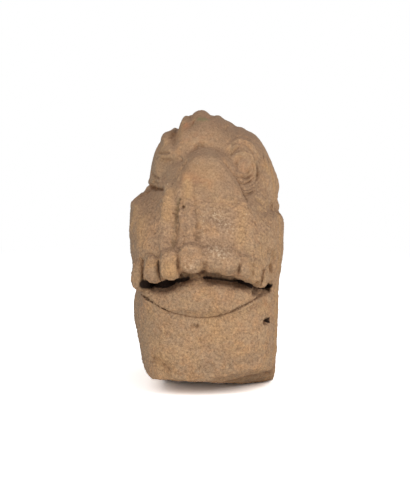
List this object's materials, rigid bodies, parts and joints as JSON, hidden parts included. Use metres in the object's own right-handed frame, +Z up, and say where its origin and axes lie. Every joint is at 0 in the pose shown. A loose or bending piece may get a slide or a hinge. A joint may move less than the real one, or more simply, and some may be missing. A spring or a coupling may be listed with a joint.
{
  "type": "stone corbel",
  "caption": "Weathered sandstone corbel carved as a beast's head with bared teeth over a bulging tongue, made to be built into a wall by its flat back",
  "frame": {"origin": "the middle of the flat back face, where the corbel meets its wall", "axes": "+Z is up, +Y points into the wall, the head looks along -Y, and +X is to the right as the head is faced"},
  "size_m": [0.2001, 0.231, 0.3538],
  "materials": {
    "sandstone": "weathered, worn and lightly stained"
  },
  "bodies": {
    "root": {"corbel": "sandstone"}
  },
  "joints": []
}
